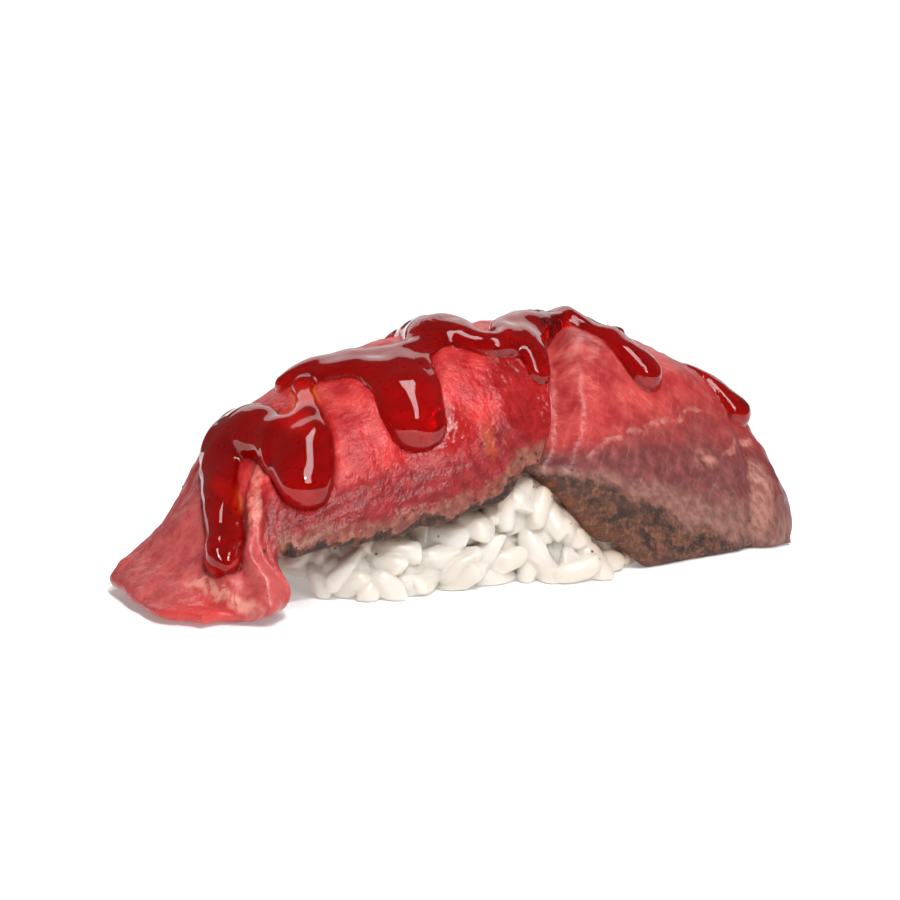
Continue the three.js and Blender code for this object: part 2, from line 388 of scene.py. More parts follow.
blunt = np.clip(1 - np.abs(grain_shape[:, 0]) ** 3.6, 0, 1) ** 0.48
grain_shape[:, 1:] *= (blunt / slim)[:, None]

core_mesh = rice_core.data
face_count = len(core_mesh.polygons)
face_centre, face_normal = np.empty(face_count * 3), np.empty(face_count * 3)
face_area = np.empty(face_count)
core_mesh.polygons.foreach_get("center", face_centre)
core_mesh.polygons.foreach_get("normal", face_normal)
core_mesh.polygons.foreach_get("area", face_area)
face_centre = face_centre.reshape(-1, 3) / MM + MIDDLE
# A mesh may list its faces in any order, so they are sorted by place before one is picked by lot.
in_order = np.lexsort(np.round(face_centre, 3).T)
face_centre = np.round(face_centre[in_order], 4)
face_normal = np.round(face_normal.reshape(-1, 3)[in_order], 5)
face_area = np.round(face_area[in_order] / MM ** 2, 4)
face_foot = rice_foot(face_centre[:, 0], np.sign(face_centre[:, 1]))
chance = np.where((face_centre[:, 2] < face_foot + 1.6) & (face_normal[:, 2] > -0.6), face_area, 0)
dice = np.random.RandomState(4)
laid = np.empty((0, 3))
grains, grain_middles = [], []
picked = dice.choice(face_count, WHOLE_TRIES + BROKEN_TRIES, p=chance / chance.sum())
for number, face in enumerate(picked):
    left = 1.0 if number < WHOLE_TRIES else dice.uniform(0.45, 0.8)  # how much of its length a grain has
    out = face_normal[face]
    level = np.cross(out, [0, 0, 1])
    level /= np.linalg.norm(level) + 1e-9
    up = np.cross(level, out)
    drawn = smooth(0, 8, face_centre[face, 0]) * smooth(1.5, 3.5, face_centre[face, 2])
    turn = math.radians(LEAN * drawn + dice.normal() * (65 - 40 * drawn))
    ahead = level * np.cos(turn) + up * np.sin(turn) + out * dice.uniform(-0.45, 0.45)
    ahead /= np.linalg.norm(ahead)
    highest = 1.5 if face_centre[face, 2] < face_foot[face] - 1.2 else 0.8
    for rise in np.arange(0.1, highest, 0.3):
        centre = face_centre[face] + out * rise
        centre[2] = max(centre[2], BEAD_RADIUS)
        body = centre + BEADS[:, None] * left * ahead
        apart = np.linalg.norm(laid[:, None] - body[None], axis=-1)
        if not len(laid) or apart.min() > 2 * BEAD_RADIUS - PRESS:
            break
    else:
        continue
    laid = np.concatenate([laid, body])
    aside = np.cross(out, ahead)
    aside /= np.linalg.norm(aside)
    size = np.array([GRAIN_LENGTH * left, GRAIN_WIDTH, GRAIN_DEPTH]) / 2 * dice.uniform(0.9, 1.15, 3)
    taper = 1 - dice.uniform(-0.2, 0.2) * grain_shape[:, 0]
    local = grain_shape * size * taper[:, None]
    for _ in range(CHIPS):
        chip = dice.normal(size=3) * [0.8, 1, 1]
        chip /= np.linalg.norm(chip)
        reach = local @ chip
        local -= np.outer(np.maximum(reach - reach.max() * dice.uniform(0.66, 0.92), 0) * 0.85, chip)
    bend = grain_shape[:, 0] ** 2
    local[:, 1] += dice.uniform(-0.35, 0.35) * bend
    local[:, 2] -= dice.uniform(0.0, 0.3) * bend
    points = centre + local @ np.array([ahead, aside, np.cross(ahead, aside)])
    points[:, 2] = np.maximum(points[:, 2], 0.05)
    piece = grain.copy()
    piece.data = grain.data.copy()
    bpy.context.collection.objects.link(piece)
    place_vertices(piece, points)
    grains.append(piece)
    grain_middles.append(points.mean(axis=0))
bpy.data.objects.remove(grain)
only(*grains)
bpy.ops.object.join()
rice_grains = bpy.context.active_object
name_piece(rice_grains, "rice_grains")
fuse = rice_grains.modifiers.new("fuse", "REMESH")
fuse.mode = "VOXEL"
fuse.voxel_size = STICKY * MM
bpy.ops.object.modifier_apply(modifier="fuse")
soften = rice_grains.modifiers.new("soften", "SMOOTH")
soften.factor = 0.5
soften.iterations = 4
bpy.ops.object.modifier_apply(modifier="soften")
thin = rice_grains.modifiers.new("thin", "DECIMATE")
thin.ratio = 0.28
bpy.ops.object.modifier_apply(modifier="thin")
bpy.ops.object.mode_set(mode="EDIT")
bpy.ops.mesh.select_all(action="SELECT")
bpy.ops.mesh.separate(type="LOOSE")
bpy.ops.object.mode_set(mode="OBJECT")
lumps = list(bpy.context.selected_objects)
for lump in [one for one in lumps if len(one.data.vertices) < FLECK]:
    lumps.remove(lump)
    bpy.data.objects.remove(lump)
only(*sorted(lumps, key=lambda one: -len(one.data.vertices)))
if len(lumps) > 1:
    bpy.ops.object.join()
rice_grains = bpy.context.active_object
name_piece(rice_grains, "rice_grains")
bpy.ops.object.shade_smooth()
points = vertex_points(rice_grains) / MM + MIDDLE
grain_middles = np.array(grain_middles)
grain_tone = dice.uniform(0, 1, len(grain_middles))
nearest = np.concatenate([
    ((part[:, None] - grain_middles[None]) ** 2).sum(-1).argmin(1) for part in np.array_split(points, 24)
])
mark(rice_grains, "tone", grain_tone[nearest])
foot = rice_foot(points[:, 0], np.sign(points[:, 1]))
# the same painted shade and juice stain on the grains, rising below the beef's foot
mark(rice_grains, "juice", smooth(3.4, 0.3, foot - points[:, 2]))
rice_grains.data.materials.append(rice_look.material)
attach(rice_grains, "root")
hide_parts("rice_bed")

# ------------------------------------------------------------
# Far slice of beef.
# A thin slice cut across a seared block: pink inside, mauve and tan towards a broad dark crust,
# which lies along its lower front edge. It is laid over the right half of the rice, down to the plate.
# ------------------------------------------------------------
# The far slice's crust ends at one of these lines over the arch, and its mauve band at the other.
crust_top = through([[6, -0.69], [15.2, -0.77], [21.9, -0.84], [30.8, -0.93], [36.4, -0.97], [42, -1.0]])
mauve_top = through([[6, -0.63], [16.4, -0.67], [25.2, -0.61], [32.9, -0.53], [42, -0.46]])
RIM = 1.3  # a slice rounds off over this width at its cut edges
SLICE_LENGTH, SLICE_BREADTH = 58.0, 48.0  # about what a slice measures laid flat, for its rim
END_THINNING = 1.1  # by which the near slice is thinner at its lapping end
EDGE_STEPS = 260  # places along a long edge from which distances are taken
BATCH = 8000  # points worked on at a time, to spare memory
# The near slice's pleat: its station at each across, from the foot up.
pleat = through([[-0.95, -28.4], [-0.65, -27.4], [-0.4, -25.4], [-0.15, -22.4]])


def folds(x, across):
    """Ridges and grooves that run down the near slice's front where it hangs free."""
    down = smooth(-0.25, -0.85, across)
    broad = down * (1.5 * bell(x + 29.5, 2.4) - bell(x + 33, 2.2))
    beside = x - pleat(across)
    crease = 0.9 * bell(beside, 0.8) - 0.8 * bell(beside + 1.9, 0.9) + 0.45 * bell(beside - 1.6, 0.6)
    tuck = 1.0 * bell(x + 29.4, 1.6) * bell(across + 0.93, 0.09)
    return broad + smooth(-0.1, -0.3, across) * crease + tuck


def sway(x, across):
    """The meat's own soft unevenness, which the glaze follows too."""
    return 0.28 * ripple(x, across * SIDE_LENGTH, 11, 21) + 0.12 * ripple(x, across * SIDE_LENGTH, 4, 22)


def end_taper(x, across):
    """How much thinner the near slice is towards the end that laps over the far slice, in mm."""
    edge = lap_edge(across)
    return END_THINNING * smooth(edge - 7, edge - 0.5, x)


def near_out(x, across):
    return near_lift(x, across) + folds(x, across) + sway(x, across)


def end_fold(x, across):
    """A crease near the far slice's right end, and the rounded fold beyond it."""
    beside = x - 39.0 + 0.8 * across
    low = smooth(-0.35, -0.6, across)
    return low * (0.7 * bell(beside - 2.7, 1.8) - 0.6 * bell(beside, 1.4))


def far_out(x, across):
    return far_lift(x, across) + sway(x, across) + end_fold(x, across)


NEAR = {
    "foot_run": 0.74, "out": near_out, "front": near_front, "back": near_back,
    "right": lambda side: lap_edge(side * 0.74) + 0.3 * ripple(side * 25, side, 5, 31),
    "left": lambda side: (-39.5 + 12 * smooth(0.1, 1, side) + 4 * smooth(0.55, 1, -side)
                          + 0.175 * ripple(side * 20, side, 6, 32)),
    "seed": 40,
}
FAR = {
    "foot_run": 0.68, "out": far_out, "front": far_front, "back": far_back,
    "right": lambda side: 46.05 - 0.25 * smooth(0.6, 1, np.abs(side)) + 0.03 * ripple(side * 20, side, 5, 33),
    "left": lambda side: lap_edge(side * 0.68) - OVERLAP,
    "seed": 50,
}


# Each string of glaze: station, across, half width in mm, height in mm.
GLAZE = {
    "end_drip": [(-20.8, 0.16, 2.6, 1.6), (-22.6, 0.1, 3.2, 1.9), (-25.2, -0.02, 2.8, 1.8),
                 (-27.0, -0.17, 2.4, 1.7), (-28.3, -0.34, 2.4, 1.9), (-29.5, -0.51, 2.6, 2.3)],
    "end_bridge": [(-22.4, 0.1, 3.2, 2.0), (-20.9, 0.02, 3.6, 2.2), (-20.4, -0.12, 3.2, 2.2),
                   (-20.0, -0.24, 3.4, 2.3), (-19.3, -0.34, 3.5, 2.5)],
    "second_drip": [(-19.2, -0.33, 3.6, 2.5), (-19.7, -0.43, 3.6, 2.7), (-20.2, -0.5, 3.0, 2.8)],
    "neck": [(-18.0, -0.3, 3.0, 2.2), (-16.6, -0.2, 2.2, 1.6), (-15.6, -0.11, 1.5, 1.1),
             (-14.7, -0.04, 1.1, 0.9), (-13.9, 0.0, 1.4, 1.4)],
    "left_ridge": [(-14.4, 0.1, 1.5, 1.3), (-11.5, 0.07, 2.5, 1.6), (-8.2, 0.0, 3.1, 1.6),
                   (-5.5, -0.06, 3.2, 1.5)],
    "web": [(-10.2, 0.0, 2.4, 1.4), (-7.4, -0.1, 2.6, 1.6), (-6.2, -0.2, 3.0, 1.8)],
    "third_drip": [(-3.8, -0.1, 3.0, 1.6), (-4.8, -0.24, 3.7, 2.0), (-5.7, -0.37, 4.0, 2.4),
                   (-6.0, -0.47, 3.6, 2.7)],
    "left_hump": [(-2.4, -0.12, 2.4, 1.2), (0.2, -0.08, 2.4, 1.4), (3.2, 0.0, 3.5, 2.8),
                  (5.0, -0.03, 2.4, 2.2)],
    "over_left": [(3.4, 0.02, 3.0, 2.4), (4.0, 0.22, 2.7, 1.8), (3.4, 0.42, 2.8, 2.0)],
    "middle_string": [(4.2, -0.04, 2.5, 2.1), (5.8, -0.13, 2.2, 1.9), (8.2, -0.18, 2.2, 1.9),
                      (10.6, -0.16, 2.2, 1.9), (12.6, -0.08, 2.6, 1.8)],
    "right_hump": [(12.0, -0.09, 2.5, 1.7), (13.6, -0.05, 3.0, 1.9), (16.6, 0.0, 3.0, 1.9),
                   (20.0, 0.02, 2.6, 1.4)],
    "fourth_drip": [(13.0, -0.1, 2.6, 1.8), (12.6, -0.22, 2.2, 1.7), (12.0, -0.34, 1.7, 1.2)],
    "over_right": [(17.0, 0.02, 2.6, 1.6), (18.6, 0.22, 2.3, 1.6), (18.8, 0.4, 2.4, 1.8)],
    "far_string": [(20.0, 0.02, 2.6, 1.4), (22.4, 0.01, 2.3, 1.4), (24.0, -0.05, 2.0, 1.5),
                   (24.8, -0.16, 2.2, 1.6), (25.4, -0.28, 2.6, 1.9), (26.1, -0.37, 2.5, 2.2)],
    "far_rim": [(22.4, 0.01, 2.2, 1.2), (25.4, 0.05, 1.9, 1.3), (28.0, 0.05, 1.1, 0.6),
                (29.8, 0.05, 1.3, 1.0)],
    "last_drip": [(37.4, -0.07, 1.0, 0.4), (38.4, -0.16, 1.7, 0.9), (39.3, -0.27, 2.1, 1.4),
                  (40.0, -0.36, 2.2, 1.9)],
}
STRING_STEPS = 16
GLAZE_ROOT = 0.3  # how far the glaze's closed underside lies below the meat's skin
GLAZE_THINNEST = 0.03  # glaze thinner than this, in mm, is left off, so that its rim closes cleanly
BLEND = 0.7  # how far strings that touch run into one another, in mm


def meat_top(x, across, set_back=0.0):
    """The upper skin of the meat, the near slice over the far one; set_back cuts the near one short."""
    edge = lap_edge(across) - set_back
    on_near = smooth(edge + 0.7, edge - 0.7, x)
    near_top = near_out(x, across) - end_taper(x, across)
    out = far_out(x, across) + (near_top - far_out(x, across)) * on_near
    normal = drape_normal(x, across)
    return drape(x, across) + normal * (out + SLICE_THICKNESS / 2)[..., None], normal


def curve_through(points, steps):
    """A Catmull-Rom curve through rows of numbers."""
    rows = np.array([points[0], *points, points[-1]], float)
    found = []
    for a, b, c, d in zip(rows, rows[1:], rows[2:], rows[3:]):
        for k in np.linspace(0, 1, steps, endpoint=False):
            found.append(0.5 * (2 * b + (c - a) * k + (2 * a - 5 * b + 4 * c - d) * k * k
                                + (3 * b - a - 3 * c + d) * k ** 3))
    found.append(rows[-1])
    return np.array(found)


def glaze_field(points):
    """How far inside the glaze's outline points lie, in mm, and its height and half width there."""
    total = heights = widths = 0
    for string in GLAZE.values():
        curve = curve_through(string, STRING_STEPS)
        spine = meat_top(curve[:, 0], curve[:, 1])[0]
        gap, best = np.empty(len(points)), np.empty(len(points), int)
        for start in range(0, len(points), BATCH):
            rows = slice(start, start + BATCH)
            distance = np.sqrt(((points[rows, None, :] - spine[None]) ** 2).sum(-1)) - curve[None, :, 2]
            best[rows] = distance.argmin(1)
            gap[rows] = distance.min(1)
        weight = np.exp(-np.clip(gap, -6, 12) / BLEND)
        total = total + weight
        heights = heights + weight * curve[best, 3]
        widths = widths + weight * curve[best, 2]
    return BLEND * np.log(total), heights / total, widths / total


def run_at_height(x, height):
    """How far down a side the drape comes to a height: 0 at the ridge, 1 at the plate."""
    low, high = np.zeros_like(x), np.ones_like(x)
    for _ in range(16):
        middle = (low + high) / 2
        above = drape(x, middle)[..., 2] > height
        low, high = np.where(above, middle, low), np.where(above, high, middle)
    return high


def slice_middle(cut, u, v):
    """The middle surface of a slice: u runs from its left end to its right, v from front to back."""
    side = 2 * v - 1
    left, right = cut["left"](side), cut["right"](side)
    x = left + (right - left) * u
    ragged = 0.3 * ripple(x, x * 0, 3.5, cut["seed"])
    front = -run_at_height(x, cut["front"](x) + ragged * smooth(0, 3, cut["front"](x)))
    back = run_at_height(x, cut["back"](x) - ragged * smooth(0, 3, cut["back"](x)))
    across = front + (back - front) * v
    normal = drape_normal(x, across)
    point = drape(x, across) + normal * cut["out"](x, across)[..., None]
    roll = bell(point[..., 2] - 3.2, 2.6) * bell(x + 27, 2.4) * smooth(-0.5, -0.8, across)
    point[..., 0] += 2.2 * roll
    point[..., 2] = np.maximum(point[..., 2], SLICE_THICKNESS / 2 * normal[..., 2])
    return x, across, point, normal


ARC_STEPS = 24  # chords in which the distance down over the arch is measured
RIDGE_STEPS = 900  # and places at which the ridge is
FALL_SHARE = 0.7  # how much of the ridge's fall counts


def arc_length(x, across):
    """The distance over the arch from the ridge, in mm, negative down the front."""
    total = np.zeros_like(x)
    for k in range(ARC_STEPS):
        step = drape(x, across * (k + 1) / ARC_STEPS) - drape(x, across * k / ARC_STEPS)
        total += np.linalg.norm(step, axis=-1) * np.sign(across)
    return total


def ridge_length(x):
    """The distance along the ridge, in mm, so that patterns aren't drawn out where it falls steeply."""
    stations = np.linspace(-45, PEAK + RIGHT_REACH, RIDGE_STEPS)
    fall = FALL_SHARE * np.diff(ridge_height(stations))
    steps = np.hypot(np.diff(stations), fall)
    return np.interp(x, stations, np.concatenate([[0], np.cumsum(steps)]))


def gather(k):
    """Even steps from 0 to 1 drawn closer together near both ends."""
    return k - 0.55 * np.sin(2 * np.pi * k) / (2 * np.pi)


def lay_slice(name, cut, along, wide):
    """One closed slice: a grid folded over on itself, upper skin first, joined at its edges."""
    bpy.ops.object.select_all(action="DESELECT")
    bpy.ops.mesh.primitive_grid_add(x_subdivisions=along, y_subdivisions=2 * wide, size=2)
    sheet = bpy.context.active_object
    name_piece(sheet, name)
    flat = vertex_points(sheet)
    u = gather((flat[:, 0] + 1) / 2)
    fold = flat[:, 1] + 1
    upper = fold <= 1
    v = gather(np.where(upper, fold, 2 - fold))
    x, across, point, normal = slice_middle(cut, u, v)
    rim_u = np.minimum(u, 1 - u) * SLICE_LENGTH
    rim_v = np.minimum(v, 1 - v) * SLICE_BREADTH
    rim = np.clip(np.minimum(rim_u, rim_v) / RIM, 0, 1)
    both = np.clip(rim_u / RIM, 0, 1) * np.clip(rim_v / RIM, 0, 1)
    half = SLICE_THICKNESS / 2 * np.sqrt(1 - (1 - np.minimum(rim, np.sqrt(both))) ** 2)
    half = half * (1 - 0.35 * smooth(-27, -37, x))
    if cut is NEAR:
        half = np.where(upper, half * (1 - end_taper(x, across) / (SLICE_THICKNESS / 2)), half)
    rough = 0.1 * ripple(x, across * SIDE_LENGTH, 1.7, cut["seed"] + 3) * np.where(upper, 1, 0) * rim
    point = point + normal * (np.where(upper, half, -half) + rough)[:, None]
    point[:, 2] = np.maximum(point[:, 2], 0.02)
    place_vertices(sheet, point)
    # Distances from the long edges, for the bands that searing leaves.
    edge_u = gather(np.linspace(0, 1, EDGE_STEPS))
    edge_points = np.concatenate([
        slice_middle(cut, edge_u, np.full(EDGE_STEPS, v_edge))[2] for v_edge in (0.0, 1.0)
    ])
    near_by = np.empty(len(point))
    for start in range(0, len(point), BATCH):
        part = point[start:start + BATCH, None, :] - edge_points[None, :, :]
        near_by[start:start + BATCH] = np.sqrt((part ** 2).sum(-1).min(1))
    mark(sheet, "edge", near_by)
    mark(sheet, "station", x)
    mark(sheet, "across", across)
    inward, height, _ = glaze_field(point)
    mark(sheet, "soaked", smooth(-0.7, 0.5, inward) * smooth(0.3, 0.8, height))
    arc = arc_length(x, across)
    above = arc - arc_length(x, crust_top(x))
    mark(sheet, "above", above)
    mark(sheet, "share", above / (arc_length(x, mauve_top(x)) - arc_length(x, crust_top(x))))
    flow = sheet.data.attributes.new("flow", "FLOAT_VECTOR", "POINT")
    laid_flat = np.stack([ridge_length(x), arc, np.zeros_like(x)], -1)
    flow.data.foreach_set("vector", laid_flat.astype(np.float32).ravel())
    only(sheet)
    bpy.ops.object.mode_set(mode="EDIT")
    bpy.ops.mesh.select_all(action="SELECT")
    bpy.ops.mesh.remove_doubles(threshold=0.00001)
    bpy.ops.mesh.normals_make_consistent(inside=False)
    bpy.ops.object.mode_set(mode="OBJECT")
    bpy.ops.object.shade_smooth()
    return sheet


def blob(at_x, at_across, x, across, wide_x, wide_across):
    """1 in the middle of a soft patch of the meat, 0 outside it."""
    dx = (at_x - x) / wide_x
    da = (at_across - across) / wide_across
    return (dx * dx + da * da).step(1.0, 0.0)


def line(at_x, at_across, start, end, width):
    """1 along a line drawn on the meat between two places, each a station and an across."""
    ax, aa = start[0], start[1] * SIDE_LENGTH
    bx, ba = end[0] - ax, end[1] * SIDE_LENGTH - aa
    length = math.hypot(bx, ba)
    px, pa = at_x - ax, at_across * SIDE_LENGTH - aa
    along = (px * (bx / length) + pa * (ba / length)) / length
    beside = px * (ba / length) - pa * (bx / length)
    inside = along.step(-0.12, 0.12) * along.step(1.12, 0.88)
    return (beside * beside).step(width * width, 0.0) * inside


def meat_look(name):
    return Look(
        name, Roughness=0.3, Subsurface_Weight=0.2, Subsurface_Radius=(1.0, 0.3, 0.2),
        Subsurface_Scale=0.0016, IOR=1.38,
    )


def wet_meat(look, flow, dark, pale, streak):
    """Red muscle: soft blotches, short fibres and a few thin pale strands."""
    blotch = look.noise(flow, 3.4, detail=4)
    fibre = look.noise(look.stretch(streak, (0.55, 1.2, 1)), 0.9, detail=3, rough=0.5)
    colour = look.mix(blotch.step(0.35, 0.68), dark, pale)
    colour = look.mix(fibre.step(0.45, 0.8) * 0.25, colour, tone(214, 104, 96))
    strand = look.noise(look.stretch(streak, (0.4, 1.0, 1)), 1.8, detail=3, warp=0.8) - 0.5
    strand = (strand * strand).step(0.0005, 0.0) * blotch.step(0.48, 0.62)
    return look.mix(strand * 0.2, colour, tone(222, 140, 128)), fibre


def seared(look, flow, edge, rusty, char):
    """The dark, grainy crust: brown, with charred patches and some rusty crumbs by its edge."""
    grainy = look.noise(flow, 0.55, detail=4).step(0.35, 0.65)
    crust = look.mix(grainy, tone(96, 58, 44), tone(130, 84, 62))
    patches = look.noise(flow, 1.7, detail=6, rough=0.65).step(0.5 - char * 0.2, 0.7 - char * 0.2)
    crust = look.mix(patches, crust, tone(48, 34, 30))
    crust = look.mix(look.cells(flow, 0.5).step(0.2, 0.1) * 0.5, crust, tone(52, 36, 32))
    rust = edge.step(3.0, 0.4) * look.noise(flow, 1.7, detail=4).step(0.48, 0.62)
    return look.mix(rust * rusty, crust, tone(158, 86, 48))


far_look = meat_look("seared_beef_far")
flow = far_look.vector("flow")
at_x, at_across, edge = far_look.number("station"), far_look.number("across"), far_look.number("edge")
fine = far_look.noise(flow, 1.0, detail=5)
wobble = (far_look.noise(flow, 4.0, detail=3) - 0.5) * 3 + (fine - 0.5) * 2.6
behind = at_across.step(0.3, 0.4)
above = far_look.number("above") + wobble
share = far_look.number("share") + wobble * 0.12
back_edge = (edge + wobble * 0.6) + (1 - behind) * 50
charred = above.step(0.9, -0.9) + back_edge.step(1.8, 1.3)
browned = share.step(0.42, 0.2) + back_edge.step(4.5, 3.2)
dull = share.step(1.35, 0.6) + back_edge.step(8.5, 6.0)
streak = far_look.turn(flow, 30)
pink, fibre = wet_meat(far_look, flow, tone(158, 40, 44), tone(190, 70, 66), streak)
blotch = far_look.noise(flow, 1.8, detail=4).step(0.35, 0.7)
mauve = far_look.mix(blotch, tone(102, 50, 50), tone(133, 72, 69))
blotch = far_look.noise(flow, 1.3, detail=4).step(0.35, 0.7)
tan = far_look.mix(blotch, tone(115, 73, 65), tone(151, 105, 93))
crust = seared(far_look, flow, edge, at_x.step(30, 20) * 0.6, 0.45)
dark_rim = above.step(0.6, -0.4) * above.step(-3.4, -1.4)
dark_rim = dark_rim * far_look.noise(flow, 1.2, detail=5).step(0.36, 0.54)
crust = far_look.mix(dark_rim * at_x.step(30, 20) * 0.7, crust, tone(58, 40, 34))
colour = far_look.mix(dull, pink, mauve)
colour = far_look.mix(browned, colour, tan)
colour = far_look.mix(charred, colour, crust)
bend_x = at_x + (far_look.noise(flow, 6.0, detail=2) - 0.5) * 4
bend_across = at_across + (far_look.noise(flow, 4.0, detail=2) - 0.5) * 0.12
sinew = line(bend_x, bend_across, (15.5, -0.69), (25.5, -0.6), 0.5)
sinew = sinew + line(bend_x, bend_across, (25, -0.6), (34, -0.49), 0.5)
sinew = sinew + line(bend_x, bend_across, (35, -0.68), (41, -0.5), 0.5)
sinew = sinew + blob(bend_x, bend_across, 32.5, -0.71, 2.6, 0.06)
sinew = sinew + blob(bend_x, bend_across, 17.0, -0.34, 1.8, 0.13) * 0.6
veil = blob(bend_x, bend_across, 20.0, -0.22, 4.0, 0.16)
veil = veil + blob(bend_x, bend_across, 27.0, -0.1, 5.0, 0.12)
veil = veil * far_look.noise(flow, 1.5, detail=5).step(0.42, 0.66)
colour = far_look.mix(veil * 0.45, colour, tone(214, 140, 134))
sinew = sinew * far_look.noise(flow, 1.6, detail=4).step(0.4, 0.7)
colour = far_look.mix(sinew * 0.6, colour, tone(214, 150, 136))
fold_end = blob(at_x + wobble * 0.4, at_across, 40.6, -0.8, 1.8, 0.22)
fold_colour = far_look.mix(fine.step(0.35, 0.65), tone(146, 92, 82), tone(198, 144, 128))
colour = far_look.mix(fold_end.step(0.0, 0.9) * 0.6, colour, fold_colour)
drawn_out = far_look.stretch(far_look.turn(flow, -66), (0.3, 1.3, 1))
thread = far_look.noise(drawn_out, 0.9, detail=4, warp=0.5)
colour = far_look.mix(thread.step(0.5, 0.8) * (1 - charred) * 0.16, colour, tone(222, 150, 138))
colour = far_look.mix(thread.step(0.5, 0.2) * (1 - charred) * 0.2, colour, tone(120, 40, 44))
speck = far_look.cells(flow, 1.15).step(0.14, 0.08) * far_look.noise(flow, 2.5).step(0.48, 0.6)
colour = far_look.mix(speck * dull * 0.8, colour, tone(82, 48, 40))
soaked = far_look.number("soaked")
colour = far_look.mix(soaked * 0.9, colour, tone(176, 26, 26))
far_look.feed("Base Color", colour)
relief = fibre * 0.4 + fine * 0.7 + charred * far_look.noise(flow, 0.45, detail=3) * 1.2
far_look.feed("Normal", far_look.bump(relief * (1 - soaked * 0.9), 0.6, 0.4))
far_look.feed("Roughness", charred * 0.3 + fine * 0.2 + 0.26)

far_slice = lay_slice("beef_far", FAR, 150, 110)
far_slice.data.materials.append(far_look.material)
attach(far_slice, "root")
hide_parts("beef_slice_far")

# ------------------------------------------------------------
# Near slice of beef.
# The longer slice, laid second: its right end laps over the far slice, and its left end hangs off
# the rice in folds and lies on the plate. A narrow dark crust runs along its lower front edge.
# ------------------------------------------------------------
near_look = meat_look("seared_beef_near")
flow = near_look.vector("flow")
at_x, at_across, edge = near_look.number("station"), near_look.number("across"), near_look.number("edge")
fine = near_look.noise(flow, 0.9, detail=5)
lumps = near_look.noise(flow, 1.5, detail=3, warp=1.2)
wobble = (near_look.noise(flow, 3.6, detail=3) - 0.5) * 3.0 + (fine - 0.5) * 1.8
flap = at_x.step(-24, -28)
depth = edge + wobble + flap * 14
crust_depth = edge + (near_look.noise(flow, 2.6, detail=4) - 0.5) * 4.8
crust_depth = crust_depth + flap * 14 + at_x.step(5.0, 8.0) * 5
charred = crust_depth.step(1.5, 1.0)
streak = near_look.turn(flow, 20)
pink, fibre = wet_meat(near_look, flow, tone(170, 22, 28), tone(204, 56, 54), streak)
blotch = near_look.noise(flow, 1.6, detail=4).step(0.35, 0.7)
mauve = near_look.mix(blotch, tone(124, 26, 30), tone(154, 42, 44))
blotch = near_look.noise(flow, 1.1, detail=4).step(0.35, 0.7)
tan = near_look.mix(blotch, tone(118, 62, 52), tone(156, 98, 80))
crust = seared(near_look, flow, edge, 0.4, 1.05)
colour = near_look.mix(depth.step(9.0, 5.6), pink, mauve)
browned = depth.step(3.2, 1.8) * (lumps.step(0.3, 0.5) * 0.45 + 0.55)
colour = near_look.mix(browned, colour, tan)
colour = near_look.mix(charred, colour, crust)
film = blob(at_x + wobble * 0.4, at_across, 9.2, -0.4, 6.0, 0.26)
film = (film + blob(at_x + wobble * 0.4, at_across, -2.4, -0.52, 4.5, 0.13) * 0.6).step(0.0, 0.7)
film_colour = near_look.mix(fine.step(0.35, 0.7), tone(140, 16, 18), tone(166, 33, 33))
colour = near_look.mix(film * 0.8, colour, film_colour)
web = blob(at_x + wobble * 0.4, at_across, 10.0, -0.27, 5.0, 0.12)
colour = near_look.mix(web * 0.85, colour, tone(140, 12, 14))
drop = blob(at_x + (fine - 0.5) * 3, at_across + (lumps - 0.5) * 0.1, 2.3, -0.6, 1.0, 0.09)
colour = near_look.mix(drop * 0.35, colour, tone(200, 96, 44))
soft = near_look.noise(flow, 3.0, detail=3) * 0.6 + fine * 0.4
flap_colour = near_look.mix(soft.step(0.36, 0.64), tone(162, 66, 68), tone(190, 96, 92))
tip = at_across.step(-0.5, -0.8) * at_x.step(-29, -33)
flap_colour = near_look.mix(tip * 0.8, flap_colour, tone(206, 66, 62))
colour = near_look.mix(flap * 0.8, colour, flap_colour)
bend_x = at_x + (near_look.noise(flow, 3.0) - 0.5) * 3
sinew = line(bend_x, at_across, (-33.2, -0.5), (-30.0, -0.98), 1.1)
sinew = sinew + line(bend_x, at_across, (-23.2, -0.2), (-26.4, -0.55), 0.9) * 0.7
colour = near_look.mix(sinew * lumps.step(0.3, 0.6) * 0.75, colour, tone(228, 160, 142))
speck = near_look.cells(flow, 1.1).step(0.13, 0.07) * near_look.noise(flow, 2.5).step(0.5, 0.6)
colour = near_look.mix(speck * depth.step(9, 3) * 0.8, colour, tone(80, 46, 40))
soaked = near_look.number("soaked")
colour = near_look.mix(soaked * 0.9, colour, tone(176, 26, 26))
amber = blob(at_x, at_across, -15.2, -0.06, 2.6, 0.12)
amber = amber + blob(at_x, at_across, -17.8, -0.18, 1.8, 0.16) * 0.8
amber = amber + blob(at_x, at_across, -26.2, -0.2, 1.0, 0.2) * 0.5
colour = near_look.mix(amber * soaked * 0.85, colour, tone(255, 150, 70))
near_look.feed("Base Color", colour)
relief = fibre * 0.5 + fine * 1.0 + lumps * 0.6 + charred * near_look.noise(flow, 0.45, detail=3) * 1.2
calm = 1 - soaked * 0.9
calm = calm * (1 - flap * 0.5) * (1 - film * 0.5)
pools = film * near_look.noise(flow, 2.0, detail=2) * 2.4
near_look.feed("Normal", near_look.bump(relief * calm + pools, 0.6, 0.45))
near_look.feed("Roughness", (charred * 0.3 + fine * 0.2 + 0.2) - film * 0.16)
near_look.feed("Coat Weight", film * 0.7)

near_slice = lay_slice("beef_near", NEAR, 190, 120)
near_slice.data.materials.append(near_look.material)
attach(near_slice, "root")
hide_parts("beef_slice_near")

